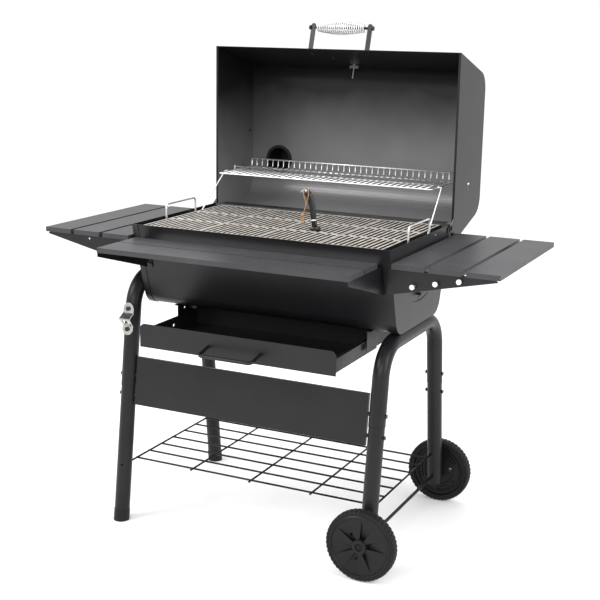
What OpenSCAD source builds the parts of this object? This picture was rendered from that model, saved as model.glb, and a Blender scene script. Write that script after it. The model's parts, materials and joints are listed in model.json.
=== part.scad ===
// Barrel charcoal grill: trough firebox on two tube frames, tilting lid, pull-out ash drawer.
// X runs to the right, Y to the back, Z up. Lengths are in millimetres.
// The lid is drawn standing open and the ash drawer partly pulled out.

/* [Firebox] */
// Half of the firebox width, to the outside of an end plate
fb_half = 406; // [400:1:412]
// Height of the firebox rim above the ground
rim_z = 915; // [905:1:925]
// Half of the firebox depth at the rim
rim_half = 246; // [220:1:280]
// Depth of the firebox from the rim to its flat bottom
fb_deep = 255; // [220:1:290]
// Half of the flat bottom, before its corners are rounded
bottom_half = 168; // [140:1:190]
// Radius of the two lower corners of the firebox
fb_corner_r = 55; // [30:1:80]
// Thickness of the sheet steel
sheet = 1.6; // [1:0.1:2.5]
// How far the end plates fold in over the shell
end_fold = 19; // [10:1:30]

/* [Lid] */
// Half of the lid opening from lip to lip
lid_half = 284.5; // [270:0.5:300]
// Depth of the lid from its opening to its flat back
lid_deep = 255; // [220:1:290]
// Half of the flat back of the lid, before its corners are rounded
lid_back_half = 210.5; // [180:0.5:240]
// Radius of the two outer corners of the lid
lid_corner_r = 60; // [30:1:90]
// Distance of the hinge pins behind the middle of the firebox
hinge_y = 248; // [240:1:260]
// Distance of the hinge pins below the rim
hinge_drop = 12; // [8:1:20]
// Radius of a hinge pin
hinge_pin_r = 4; // [3:0.5:6]

/* [Stand] */
// Outer radius of an upper leg tube
tube_r = 24; // [20:0.5:28]
// Wall of a leg tube
tube_wall = 1.7; // [1.2:0.1:2.5]
// Lean of each leg away from upright, in degrees
leg_lean = 7.27; // [4:0.01:10]
// Distance of a leg from the middle of the stand, at the ground
foot_y = 290; // [260:1:320]
// Radius of the bends at the top of each tube frame
bend_r = 95; // [80:1:120]
// Height of the joint between an upper and a lower leg tube
leg_joint_z = 420; // [380:1:460]
// Height of the top tube beside the left end plate
left_top_z = 743; // [720:1:760]

/* [Wheels] */
// Radius of a wheel with its tyre
wheel_r = 102; // [90:1:115]
// Width of a wheel
wheel_w = 38; // [30:1:44]
// Radius of the axle rod
axle_r = 5; // [4:0.5:7]
// Number of wedge-shaped pockets in a wheel face
pockets = 6; // [3:3:12]

/* [Shelves] */
// Height of the top of every shelf slat
shelf_z = 881; // [860:1:890]
// Thickness of a shelf slat
slat_t = 14; // [10:1:18]
// Distance from the middle to the inner edge of a side shelf
side_x = 414.5; // [414:0.5:420]
// Width of a side shelf slat
slat_w = 91; // [80:1:100]
// Gap between two side shelf slats
slat_gap = 12; // [8:1:16]
// Front end of the side shelves
side_front = -254; // [-270:1:-250]
// Rear end of the side shelves
side_back = 295; // [280:1:310]
// Half of the front shelf length
front_half = 380; // [340:1:400]
// Front edge of the front shelf
front_edge = -459; // [-480:1:-440]

/* [Cooking] */
// Number of cooking grate sections
grates = 4; // [4:1:4]
// Number of slots across one grate section
grate_slots = 11; // [9:1:12]
// Thickness of a cooking grate
grate_t = 9; // [7:0.5:12]
// Number of upright wires in the warming rack fence
fence_wires = 37; // [25:2:45]

/* [Handle] */
// Number of turns in the spring grip
grip_turns = 23; // [15:1:27]
// Radius of the grip's wire centre line at its middle
grip_mid_r = 20; // [16:0.5:24]
// Radius of the grip's wire centre line at its ends
grip_end_r = 11; // [9:0.5:14]

/* [Hidden] */
$fn = 48;

e = 0.01;
// Gap left between two parts that touch
seam = 0.03;
charcoal = [0.16, 0.16, 0.17];
charcoal_light = [0.24, 0.24, 0.25];
chrome = [0.75, 0.75, 0.76];
cast_grey = [0.62, 0.60, 0.57];
tan_leather = [0.62, 0.45, 0.27];

fb_z = rim_z - fb_deep;
hinge_z = rim_z - hinge_drop;
wall_slope = (rim_half - bottom_half) / fb_deep;

// The lid rests on the rim when it is shut, so its opening stands this far behind the hinge.
rest_gap = 0.4;
lid_y = hinge_y + hinge_drop + rest_gap;
lid_low = 851;
lid_mid = lid_low + lid_half;
lid_end_x = fb_half + 3.5;
lid_half_x = lid_end_x + sheet;
lid_slope = (lid_half - lid_back_half) / lid_deep;
lid_wall_angle = atan(lid_slope);

// Stand
left_x = -(fb_half + 0.2 + tube_r);
right_x = fb_half - tube_r;
right_top_z = fb_z - tube_r;
lower_r = tube_r - 1;
leg_end_z = 78;
axle_z = wheel_r;
rack_z = 176;
wheel_in = foot_y - axle_z * tan(leg_lean) + tube_r + 4;
joint_bolt_r = 3;
joint_bolt_dz = 30;
frame_bolt_y = 60;
frame_bolt_r = 4;

// Cooking surface
grate_top = rim_z - 3;
grate_half = 378;
grate_gap = 2;
grate_w = (2 * grate_half - (grates - 1) * grate_gap) / grates;
grate_deep = 236;
rest_z = grate_top - grate_t;

// Warming rack: its legs and the lid turn side by side, so the rack stays level.
arm = [137, 119];
rack_pin = [hinge_y + arm[0], hinge_z + arm[1]];
leg_foot = [112, hinge_z];
leg_top = leg_foot + arm;
rack_half = 360;
rack_front = 190;
rack_back = 415;
rack_leg_x = 383;
rack_bar = 5;
fence_h = 29;

// Ash drawer
drawer_y = -358;
drawer_len = 305;
drawer_half = 300;
drawer_low = 587;
drawer_rail_z = 627;
pull_x = 82;
pull_z = 613;
house_half = 308;
house_front = -150;
house_back = 150;
house_low = 600;
house_top = fb_z + sheet;

// Handle and chimney
handle_v = 40;
handle_up = 78;
foot_bolt = 14;
gauge_v = 170;
plug_v = 97;
plug_x = 42;
arm_x = 95.5;
chimney_x = -307;
chimney_z = 1040;
chimney_r = 40;
chimney_len = 92;
cap_pin_r = 3;
cap_pin_off = 47;

// Lifter
lifter_y = -56;

// The finished object spans these depths, and its origin lies halfway between them.
span_front = front_edge;
span_back = lid_y + lid_deep + chimney_len + 6.5;
shift_y = -(span_front + span_back) / 2;

// Half outline of a trough: slanted walls, a flat floor and rounded corners, drawn inset by d.
function trough(top, low, deep, r, d) =
  let (
    a = atan((top - low) / deep),
    rr = r - d,
    half_top = top - d / cos(a),
    half_low = low - d / cos(a) + d * tan(a),
    t = rr * tan((90 - a) / 2),
    steps = 9,
    right = [for (i = [0 : steps])
      let (q = -90 + (90 - a) * i / steps)
      [half_low - t + rr * cos(q), -deep + d + rr + rr * sin(q)]]
  )
  concat(
    [[-half_top, 0]],
    [for (i = [steps : -1 : 0]) [-right[i][0], right[i][1]]],
    right,
    [[half_top, 0]]
  );

function leg_y(z) = foot_y - z * tan(leg_lean);

module place() translate([0, shift_y, 0]) children();

// Draws a flat (y, z) shape and gives it a thickness h along X, starting at x.
module slab_x(x, h) translate([x, 0, 0]) rotate([90, 0, 90]) linear_extrude(h) children();

// Draws a flat (x, z) shape and gives it a thickness h along Y, starting at y.
module slab_y(y, h) translate([0, y + h, 0]) rotate([90, 0, 0]) linear_extrude(h) children();

module box(x0, x1, y0, y1, z0, z1) translate([x0, y0, z0]) cube([x1 - x0, y1 - y0, z1 - z0]);

module both_sides() {
  children();
  mirror([1, 0, 0]) children();
}

module rod_x(x0, x1, y, z, r) translate([x0, y, z]) rotate([0, 90, 0]) cylinder(h = x1 - x0, r = r);

module rod_y(x, y0, y1, z, r) translate([x, y0, z]) rotate([-90, 0, 0]) cylinder(h = y1 - y0, r = r);

// A straight round bar between two points.
module bar(a, b, r) {
  v = b - a;
  translate(a)
    rotate([0, acos(v[2] / norm(v)), atan2(v[1], v[0])])
      cylinder(h = norm(v), r = r);
}

module firebox_outline(d) {
  translate([0, rim_z]) polygon(trough(rim_half, bottom_half, fb_deep, fb_corner_r, d));
}

module lid_outline(d) {
  translate([lid_y, lid_mid])
    rotate(90)
      polygon(trough(lid_half, lid_back_half, lid_deep, lid_corner_r, d));
}

// ---------------------------------------------------------------- stand

// A straight tube between two points.
module tube(a, b) {
  v = b - a;
  translate(a)
    rotate([0, acos(v[2] / norm(v)), atan2(v[1], v[0])])
      difference() {
        cylinder(h = norm(v), r = tube_r);
        translate([0, 0, -1]) cylinder(h = norm(v) + 2, r = tube_r - tube_wall);
      }
}

// A bent tube frame: two leaning legs and a top tube, joined by two bends.
// The ends of each bend sit a little way inside the straight tubes.
module whole_frame(x, top_z) {
  c = cos(leg_lean);
  s = sin(leg_lean);
  t = bend_r * (1 - s) / c;
  seat = 4;
  start = [leg_y(top_z) + t * s, top_z - t * c];
  centre = [start[0] - bend_r * c, top_z - bend_r];
  end = [start[0] - seat * s, start[1] + seat * c];
  for (side = [-1, 1])
    tube([x, side * leg_y(leg_joint_z), leg_joint_z], [x, side * end[0], end[1]]);
  tube([x, -centre[0] - seat, top_z], [x, centre[0] + seat, top_z]);
  for (side = [0, 1]) mirror([0, side, 0])
    translate([x, centre[0], centre[1]])
      rotate([90, 0, 90])
        rotate([0, 0, leg_lean])
          rotate_extrude(angle = 90 - leg_lean)
            translate([bend_r, 0])
              difference() {
                circle(tube_r - 0.2);
                circle(tube_r - tube_wall + 0.2);
              }
}

// Holes for the two through bolts of each leg joint, and the bolts themselves.
module joint_bolts(x, side, r, extra) {
  for (dz = [-joint_bolt_dz, joint_bolt_dz])
    rod_x(x - tube_r - extra, x + tube_r + extra, side * leg_y(leg_joint_z + dz), leg_joint_z + dz, r);
}

module leg_frame(x, top_z) {
  color(charcoal)
    difference() {
      whole_frame(x, top_z);
      joint_bolts(x, 1, joint_bolt_r, 2);
      joint_bolts(x, -1, joint_bolt_r, 2);
      children();
    }
}

module leg_frame_left() {
  leg_frame(left_x, left_top_z)
    for (y = [-frame_bolt_y, frame_bolt_y]) rod_x(left_x, left_x + tube_r + 2, y, left_top_z, frame_bolt_r);
}

module leg_frame_right() {
  leg_frame(right_x, right_top_z)
    for (y = [-frame_bolt_y, frame_bolt_y]) translate([right_x, y, right_top_z])
      cylinder(h = tube_r + 2, r = frame_bolt_r);
}

// A lower leg, with a narrower spigot that slides up inside the upper tube.
module lower_leg(x, side, low_z, rack_x) {
  color(charcoal)
    difference() {
      union() {
        bar([x, side * leg_y(low_z), low_z], [x, side * leg_y(leg_joint_z), leg_joint_z], lower_r);
        bar([x, side * leg_y(leg_joint_z - 2), leg_joint_z - 2],
            [x, side * leg_y(leg_joint_z + 50), leg_joint_z + 50], tube_r - tube_wall - 0.1);
      }
      bar([x, side * leg_y(low_z - 5), low_z - 5],
          [x, side * leg_y(leg_joint_z + 55), leg_joint_z + 55], lower_r - 2 * tube_wall);
      joint_bolts(x, side, joint_bolt_r, 2);
      rod_y(rack_x, side > 0 ? 200 : -340, side > 0 ? 340 : -200, rack_z, 3.1);
      if (x > 0) rod_y(x, side > 0 ? 220 : -340, side > 0 ? 340 : -220, axle_z, axle_r);
    }
}

left_rack_x = left_x + 5;
right_rack_x = right_x - 8;

module lower_leg_front_left() lower_leg(left_x, -1, 8, left_rack_x);
module lower_leg_rear_left() lower_leg(left_x, 1, 8, left_rack_x);
module lower_leg_front_right() lower_leg(right_x, -1, leg_end_z, right_rack_x);
module lower_leg_rear_right() lower_leg(right_x, 1, leg_end_z, right_rack_x);

// Two cups on the left legs, flat underneath, and two plugs in the right legs.
module foot_caps() {
  color("#141414")
    for (side = [-1, 1]) {
      difference() {
        bar([left_x, side * leg_y(-8), -8], [left_x, side * leg_y(34), 34], lower_r + 1.2);
        bar([left_x, side * leg_y(8), 8], [left_x, side * leg_y(60), 60], lower_r);
        box(left_x - 60, left_x + 60, side * foot_y - 60, side * foot_y + 60, -40, 0);
      }
      bar([right_x, side * leg_y(leg_end_z - 4), leg_end_z - 4],
          [right_x, side * leg_y(leg_end_z), leg_end_z], lower_r);
    }
}

module leg_bolts() {
  color("#1c1c1e")
    for (x = [left_x, right_x], side = [-1, 1], dz = [-joint_bolt_dz, joint_bolt_dz]) {
      y = side * leg_y(leg_joint_z + dz);
      z = leg_joint_z + dz;
      rod_x(x - tube_r - 1, x + tube_r + 1, y, z, joint_bolt_r);
      rod_x(x + tube_r, x + tube_r + 4, y, z, 5.5);
      rod_x(x - tube_r - 5, x - tube_r, y, z, 5.5);
    }
}

// The wide panel between the two front legs, leaning as they do.
module front_panel() {
  low = 362;
  high = 508;
  // the panel fits between the heads of the leg bolts
  x0 = left_x + tube_r + 4;
  x1 = right_x - tube_r - 5;
  fold = 12;
  color(charcoal)
    translate([0, -leg_y(low) - 6, low])
      rotate([-leg_lean, 0, 0]) {
        h = (high - low) / cos(leg_lean);
        box(x0, x1, 0, sheet, 0, h);
        box(x0, x1, 0, fold, 0, sheet);
        box(x0, x1, 0, fold, h - sheet, h);
        box(x0, x0 + sheet, 0, fold, 0, h);
        box(x1 - sheet, x1, 0, fold, 0, h);
      }
}

// The wires stand 0.1 apart where the real ones are welded together.
module bottom_rack() {
  half = 212;
  bars = 4;
  wires = 7;
  rim = 5;
  fill = 4;
  pitch = (right_rack_x - left_rack_x) / bars;
  color("#1a1a1c") {
    for (x = [left_rack_x, right_rack_x])
      rod_y(x, -leg_y(rack_z) + 12, leg_y(rack_z) - 12, rack_z, 3);
    for (i = [1 : bars - 1])
      box(left_rack_x + i * pitch - rim / 2, left_rack_x + i * pitch + rim / 2,
          -half - 6, half + 6, rack_z - 5.6, rack_z - 1.6);
    for (j = [0 : wires - 1]) {
      y = -half + j * 2 * half / (wires - 1);
      box(left_rack_x + 3.1, right_rack_x - 3.1, y - fill / 2, y + fill / 2, rack_z - 1.5, rack_z + 2);
    }
  }
}

module axle() {
  // caps in the recess of each hub keep the wheels on
  end = wheel_in + wheel_w - hub_recess + 0.5;
  color("#232325") {
    rod_y(right_x, -end, end, axle_z, axle_r);
    rod_y(right_x, end, end + 4, axle_z, 9);
    rod_y(right_x, -end - 4, -end, axle_z, 9);
  }
}

// ---------------------------------------------------------------- firebox

module firebox_shell() {
  ledge_x = fb_half - end_fold - 0.3;
  color(charcoal)
    difference() {
      union() {
        slab_x(-fb_half + sheet, 2 * (fb_half - sheet))
          difference() {
            firebox_outline(sheet + seam);
            translate([0, e]) firebox_outline(2 * sheet);
          }
        // rear ledge that closes the gap behind the rim when the lid is shut
        box(-ledge_x, ledge_x, rim_half - 3, rim_half + 42, rim_z - sheet, rim_z);
      }
      // ash opening above the drawer
      box(-240, 240, -90, 90, fb_z - 5, fb_z + 10);
      // bolts of the left tube frame stay in the end plate, those of the right one come up here
      for (y = [-frame_bolt_y, frame_bolt_y])
        translate([right_x, y, fb_z - 5]) cylinder(h = 15, r = frame_bolt_r + 0.2);
    }
}

// One end plate: a flat plate with a fold all round that laps over the shell.
module firebox_end() {
  slab_x(fb_half - sheet, sheet) firebox_outline(0);
  slab_x(fb_half - end_fold, end_fold - sheet / 2)
    difference() {
      firebox_outline(0);
      translate([0, e]) firebox_outline(sheet);
    }
}

module firebox_end_left() {
  color(charcoal)
    difference() {
      mirror([1, 0, 0]) firebox_end();
      for (y = [-frame_bolt_y, frame_bolt_y])
        rod_x(-fb_half - 5, -fb_half + 10, y, left_top_z, frame_bolt_r);
      rod_x(-fb_half - 5, -fb_half + 8, leg_foot[0], leg_foot[1], 2.05);
    }
}

damper_y = -10;
damper_z = 747;
vent_r = 250;
vent_mid = [0, 732 + vent_r];

// The thin curved vent below the damper slot.
module vent_arc(r0, r1, half_angle) {
  translate(vent_mid)
    intersection() {
      difference() {
        circle(r1, $fn = 180);
        circle(r0, $fn = 180);
      }
      polygon([
        [0, 0],
        [-2 * r1 * sin(half_angle), -2 * r1 * cos(half_angle)],
        [2 * r1 * sin(half_angle + 3), -2 * r1 * cos(half_angle + 3)]
      ]);
    }
}

module firebox_end_right() {
  color(charcoal)
    difference() {
      firebox_end();
      rod_x(fb_half - 8, fb_half + 5, leg_foot[0], leg_foot[1], 2.05);
      slab_x(fb_half - 5, 8) {
        translate([damper_y - 2, damper_z - 11]) square([4, 22]);
        vent_arc(vent_r - 1.5, vent_r + 1.5, 13);
      }
    }
}

module grate_rests() {
  y = rim_half - (rim_z - rest_z) * wall_slope - 2 * sheet - 1.2;
  color(charcoal)
    for (side = [0, 1]) mirror([0, side, 0]) {
      box(-fb_half + 4, fb_half - 4, y - 14, y, rest_z - sheet, rest_z);
      box(-fb_half + 4, fb_half - 4, y - 3 * sheet, y - 2 * sheet, rest_z - 12, rest_z - sheet / 2);
      // brackets under the charcoal tray
      for (x = [-330, 330])
        box(x - 20, x + 20, tray_half_y - 12, tray_wall_y, tray_z - 0.2 - sheet, tray_z - 0.2);
    }
}

// A cast grate: slots run from front to back in three rows, between two solid cross bars.
module cooking_grate(i) {
  x = -grate_half + i * (grate_w + grate_gap);
  border = 6;
  pitch = (grate_w - border) / grate_slots;
  slot = pitch - 7.5;
  row = (2 * grate_deep - 2 * 12 - 2 * 14) / 3;
  stagger = 5;
  color(cast_grey)
    translate([x, 0, rest_z])
      linear_extrude(grate_t)
        difference() {
          translate([0, -grate_deep]) square([grate_w, 2 * grate_deep]);
          // neighbouring slots are shifted, so their ends form a zigzag
          for (k = [0 : grate_slots - 1], j = [0 : 2]) {
            shift = k % 2 == 0 ? -stagger : stagger;
            low = j == 0 ? 0 : shift;
            high = j == 2 ? 0 : shift;
            translate([border / 2 + k * pitch + (pitch - slot) / 2, -grate_deep + 12 + j * (row + 14) + low])
              square([slot, row + high - low]);
          }
        }
}

module cooking_grate_1() cooking_grate(0);
module cooking_grate_2() cooking_grate(1);
module cooking_grate_3() cooking_grate(2);
module cooking_grate_4() cooking_grate(3);

// ---------------------------------------------------------------- charcoal tray

tray_z = 775;
tray_half_x = 388;
tray_half_y = 165;
tray_wall_y = rim_half - (rim_z - tray_z + sheet) * wall_slope - 2 * sheet - 0.5;
bail_x = 393;
bail_mid = 10;
bail_half = 86;
bail_top = 952;
bail_r = 3;

module charcoal_tray() {
  color(charcoal_light)
    difference() {
      union() {
        box(-tray_half_x, tray_half_x, -tray_half_y, tray_half_y, tray_z, tray_z + 2);
        for (side = [0, 1]) mirror([0, side, 0])
          box(-tray_half_x, tray_half_x, tray_half_y - 2, tray_half_y, tray_z, tray_z + 20);
        both_sides()
          box(tray_half_x - 2, bail_x - bail_r, -tray_half_y, tray_half_y, tray_z, tray_z + 20);
      }
      for (i = [-9 : 9], j = [-1, 0, 1])
        box(i * 40 - 10, i * 40 + 10, j * 104 - 40, j * 104 + 40, tray_z - 5, tray_z + 5);
    }
}

// One wire bail at each end of the tray, standing up beside the grates.
module tray_handles() {
  r = 12;
  color(chrome)
    both_sides() {
      for (side = [-1, 1]) {
        y = bail_mid + side * bail_half;
        bar([bail_x, y, tray_z + 2], [bail_x, y, bail_top - r], bail_r);
        translate([bail_x, y - side * r, bail_top - r])
          rotate([90, 0, 90])
            rotate([0, 0, side > 0 ? 0 : 90])
              rotate_extrude(angle = 90)
                translate([r, 0]) circle(bail_r, $fn = 24);
      }
      rod_y(bail_x, bail_mid - bail_half + r, bail_mid + bail_half - r, bail_top, bail_r);
    }
}

// ---------------------------------------------------------------- shelves

// A folded steel slat with a hollow underside.
module slat(x0, x1, y0, y1) {
  color(charcoal_light)
    difference() {
      box(x0, x1, y0, y1, shelf_z - slat_t, shelf_z);
      box(x0 + sheet, x1 - sheet, y0 + sheet, y1 - sheet, shelf_z - slat_t - 1, shelf_z - sheet);
    }
}

module side_slat(i) {
  x = side_x + i * (slat_w + slat_gap);
  slat(x, x + slat_w, side_front, side_back);
}

module left_slat_1() mirror([1, 0, 0]) side_slat(0);
module left_slat_2() mirror([1, 0, 0]) side_slat(1);
module left_slat_3() mirror([1, 0, 0]) side_slat(2);
module right_slat_1() side_slat(0);
module right_slat_2() side_slat(1);
module right_slat_3() side_slat(2);

front_split = -356;
front_back = -266;

module front_slat_outer() slat(-front_half, front_half, front_edge, front_split);
module front_slat_inner() slat(-front_half, front_half, front_split + 5, front_back);

under = shelf_z - slat_t;

gusset_x = 700;
gusset_low = 798;

// Gusset outline (x, z) under a side shelf.
module gusset_outline() {
  polygon([
    [fb_half + 2, under], [gusset_x, under], [gusset_x + 5, under - 6],
    [fb_half + 8, gusset_low], [fb_half + 2, gusset_low]
  ]);
}

module shelf_frame() {
  for (y = [side_front + 4, 232]) slab_y(y, 2) gusset_outline();
  box(fb_half + 2, gusset_x, side_front + 4, side_front + 20, under - 2, under);
  box(fb_half + 2, gusset_x, 216, 234, under - 2, under);
  box(fb_half + 0.2, fb_half + 2.2, side_front + 4, 234, 800, under);
}

module left_shelf_frame() {
  color(charcoal)
    difference() {
      mirror([1, 0, 0]) shelf_frame();
      rod_y(-555, -260, -240, 858, 3);
    }
}

module right_shelf_frame() {
  color(charcoal) shelf_frame();
}

module tool_pegs() {
  color(chrome)
    for (p = [[478, 827], [541, 842], [605, 855]]) {
      rod_y(p[0], side_front - 6, side_front + 4, p[1], 4);
      rod_y(p[0], side_front - 11, side_front - 6, p[1], 7);
    }
}

// Depth of the front wall's outer face at height z.
function wall_y(z) = -(rim_half - (rim_z - z) * wall_slope);

module front_shelf_brackets() {
  low = 783;
  color(charcoal)
    both_sides() {
      slab_x(front_half - 2, 2)
        polygon([
          [front_edge + 2, under], [front_edge + 2, under - 12],
          [wall_y(low) - 1, low], [wall_y(under) - 1, under]
        ]);
      slab_x(front_half - 20, 19)
        polygon([
          [wall_y(low) - 1, low], [wall_y(low) - 3, low],
          [wall_y(under) - 3, under], [wall_y(under) - 1, under]
        ]);
      box(front_half - 16, front_half - 1, front_edge + 4, wall_y(under) - 4, under - 2, under);
    }
}

// ---------------------------------------------------------------- small fittings

opener_z = 623;
opener_screw = 31;
// Room between the back of the opener and the front of the leg
opener_gap = (tube_r + 1) * cos(leg_lean) - tube_r - 0.05;

// Puts a drawing on the front of the left leg, where the opener is screwed on.
module on_opener() {
  translate([left_x, -leg_y(opener_z) - tube_r - 1, opener_z])
    rotate([-leg_lean, 0, 0])
      children();
}

// An opener: two round-ended tabs and a hood that stands forward between them.
module bottle_opener() {
  w = 36;
  plate = 2.5;
  color(chrome)
    on_opener()
      difference() {
        union() {
          for (z = [-opener_screw, opener_screw]) rod_y(0, -plate, 0, z, w / 2);
          box(-w / 2, w / 2, -plate, 0, 14, opener_screw);
          box(-w / 2, w / 2, -plate, 0, -opener_screw, -20);
          slab_x(-w / 2, w)
            polygon([
              [0, 16], [-plate, 18], [-24, 2], [-24, -2], [-plate, -22], [0, -22], [-20, 0]
            ]);
        }
        for (z = [-opener_screw, opener_screw]) rod_y(0, -plate - 1, 1, z, 4);
        box(-9, 9, -30, -4, -30, -4);
      }
}

// Every remaining bolt of the stand, the shelves and the opener.
module frame_bolts() {
  head = 6.5;
  color("#232325") {
    for (y = [-frame_bolt_y, frame_bolt_y]) {
      rod_x(-fb_half - 1, -fb_half + 6, y, left_top_z, frame_bolt_r - 0.1);
      rod_x(-fb_half + sheet + seam, -fb_half + 6, y, left_top_z, head);
      translate([right_x, y, fb_z - 1]) cylinder(h = 6, r = frame_bolt_r - 0.1);
      translate([right_x, y, fb_z + 2 * sheet + seam]) cylinder(h = 4, r = head);
    }
    both_sides() {
      for (y = [-190, 190]) rod_x(fb_half + 2.2, fb_half + 6, y, 834, head);
      for (z = [795, 845])
        translate([front_half - 11, wall_y(z) - 3, z])
          rotate([90 + atan(wall_slope), 0, 0]) cylinder(h = 4, r = 4.5);
    }
  }
  color(chrome)
    on_opener()
      for (z = [-opener_screw, opener_screw]) {
        rod_y(0, -6, -2.5, z, 7);
        rod_y(0, -3, opener_gap, z, 3.9);
      }
}

// ---------------------------------------------------------------- ash drawer

module drawer_housing() {
  color(charcoal)
    difference() {
      union() {
        both_sides() {
          box(house_half, house_half + sheet, house_front, house_back, house_low, house_top);
          box(house_half - 5, house_half + e, house_front, house_back, drawer_rail_z, drawer_rail_z + sheet);
          box(house_half, house_half + 14, house_front, house_back, house_top - sheet, house_top);
        }
        box(-house_half, house_half, house_back - sheet, house_back, drawer_low - 6, house_top);
      }
      rod_x(-house_half - 5, -house_half + 3, -111, 648, 3.5);
    }
}

module ash_drawer() {
  y0 = drawer_y + sheet;
  y1 = y0 + drawer_len;
  top = 633;
  back_top = 650;
  rail = drawer_rail_z + sheet + 0.4;
  color(charcoal)
    difference() {
      union() {
        box(-drawer_half, drawer_half, y0, y1, drawer_low, drawer_low + sheet);
        both_sides() {
          box(drawer_half - sheet, drawer_half, y0, y1, drawer_low, top);
          box(drawer_half - e, drawer_half + 6, y0, y1, rail, rail + sheet);
        }
        box(-drawer_half, drawer_half, y1 - sheet, y1, drawer_low, back_top);
      }
      rod_x(-drawer_half - 5, -drawer_half + 5, -190, 610, 4.5);
    }
}

// The front panel, with its two top corners rounded.
module drawer_front() {
  w = 308;
  z0 = 583;
  z1 = 652;
  r = 16;
  color(charcoal)
    difference() {
      slab_y(drawer_y, sheet)
        union() {
          translate([-w, z0]) square([2 * w, z1 - z0 - r]);
          translate([-w + r, z0]) square([2 * (w - r), z1 - z0]);
          for (s = [-1, 1]) translate([s * (w - r), z1 - r]) circle(r);
        }
      for (s = [-1, 1]) rod_y(s * pull_x, drawer_y - 5, drawer_y + 5, pull_z, 3);
    }
}

module drawer_handle() {
  r = 5;
  b = 12;
  out = 56;
  handle_drop = 13;
  color(charcoal)
    both_sides() {
      rod_y(pull_x, drawer_y - 3, drawer_y + 4, pull_z, 3);
      translate([0, drawer_y - 1.5, pull_z])
        rotate([handle_drop, 0, 0]) {
          rod_y(pull_x, b - out, 0, 0, r);
          translate([pull_x - b, b - out, 0])
            rotate([0, 0, 270])
              rotate_extrude(angle = 90)
                translate([b, 0]) circle(r, $fn = 24);
          rod_x(-e, pull_x - b, -out, 0, r);
        }
    }
}

// ---------------------------------------------------------------- air damper

// A shutter inside the right end plate, moved by a tab that stands out through its slot.
module air_damper() {
  face = fb_half - sheet - 0.4;
  color(charcoal) {
    box(face - 1.5, face, -64, 84, 718, 768);
    box(face - 0.5, fb_half + 12, damper_y - 1, damper_y + 1, damper_z + 1, damper_z + 9);
    box(fb_half + 10, fb_half + 12, damper_y - 14, damper_y + 1, damper_z + 1, damper_z + 9);
  }
}

// ---------------------------------------------------------------- hinges and lid

module hinge_brackets() {
  color("#141416")
    both_sides() {
      slab_x(fb_half, 3)
        union() {
          translate([hinge_y, hinge_z]) circle(11);
          polygon([[hinge_y - 28, hinge_z - 12], [hinge_y - 28, hinge_z + 4],
                   [hinge_y, hinge_z + 11], [hinge_y, hinge_z - 11]]);
        }
    }
  color(chrome)
    both_sides() {
      rod_x(fb_half - 4, lid_half_x + 1, hinge_y, hinge_z, hinge_pin_r);
      rod_x(lid_half_x + 0.5, lid_half_x + 2.6, hinge_y, hinge_z, 6.5);
    }
}

module lid_shell() {
  color(charcoal)
    difference() {
      slab_x(-lid_end_x, 2 * lid_end_x)
        difference() {
          lid_outline(0);
          translate([-e, 0]) lid_outline(sheet);
        }
      rod_y(chimney_x, lid_y + lid_deep - 10, lid_y + lid_deep + 10, chimney_z, chimney_r + 0.2);
      on_front_wall(gauge_v) translate([0, 0, -5]) cylinder(h = 10, r = 4);
      for (s = [-1, 1]) on_front_wall(handle_v)
        translate([s * arm_x, foot_bolt, -5]) cylinder(h = 10, r = 2.5);
      for (s = [-1, 1]) on_front_wall(plug_v) translate([s * plug_x, 0, -5]) cylinder(h = 10, r = 2.5);
    }
}

// Puts a drawing on the outside of the lid's front wall, v from the lip: Z points away from it.
module on_front_wall(v) {
  translate([0, lid_y + v, lid_mid + lid_half - v * lid_slope])
    rotate([-lid_wall_angle, 0, 0])
      children();
}

// The end plate, its folded edge along the opening, its hinge ear and the slot of the rack wire.
module lid_end() {
  slot = 26;
  difference() {
    union() {
      slab_x(lid_end_x, sheet)
        union() {
          lid_outline(0);
          translate([hinge_y, hinge_z]) circle(15);
          polygon([[hinge_y, hinge_z - 15], [lid_y + 14, hinge_z - 15],
                   [lid_y + 14, hinge_z + 26], [lid_y, hinge_z + 26], [hinge_y - 13, hinge_z + 8]]);
        }
      box(lid_half_x - 7, lid_half_x - sheet / 2, lid_y, lid_y + sheet,
          lid_mid - lid_half + 2.2, lid_mid + lid_half - 2.2);
    }
    slab_x(lid_end_x - 10, 20) translate([hinge_y, hinge_z]) circle(hinge_pin_r + 0.06);
    box(lid_end_x - 1, lid_half_x + 1, rack_pin[0] - 3.5, rack_pin[0] + 3.5,
        rack_pin[1] + 4 - slot, rack_pin[1] + 4);
  }
}

module lid_end_right() color(charcoal) lid_end();
module lid_end_left() color(charcoal) mirror([1, 0, 0]) lid_end();

// Two flat arms with feet, and the rod that carries the spring grip.
module handle_frame() {
  w = 15;
  t = 3;
  color(charcoal)
    on_front_wall(handle_v)
      for (s = [-1, 1]) {
        difference() {
          union() {
            box(s * arm_x - w / 2, s * arm_x + w / 2, -t, 0, 0, handle_up + 6);
            box(s * arm_x - w / 2, s * arm_x + w / 2, -t, 26, 0, t);
            translate([s * arm_x, -t, handle_up + 6]) rotate([-90, 0, 0]) cylinder(h = t, r = w / 2);
          }
          translate([s * arm_x, foot_bolt, -1]) cylinder(h = 6, r = 2.5);
        }
      }
  color(chrome)
    on_front_wall(handle_v) {
      rod_x(-arm_x + w / 2, arm_x - w / 2, -t / 2, handle_up, 4);
      for (s = [-1, 1]) {
        translate([s * (arm_x + w / 2), -t / 2, handle_up]) rotate([0, s * 90, 0]) cylinder(h = 5, r = 7);
      }
    }
}

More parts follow.
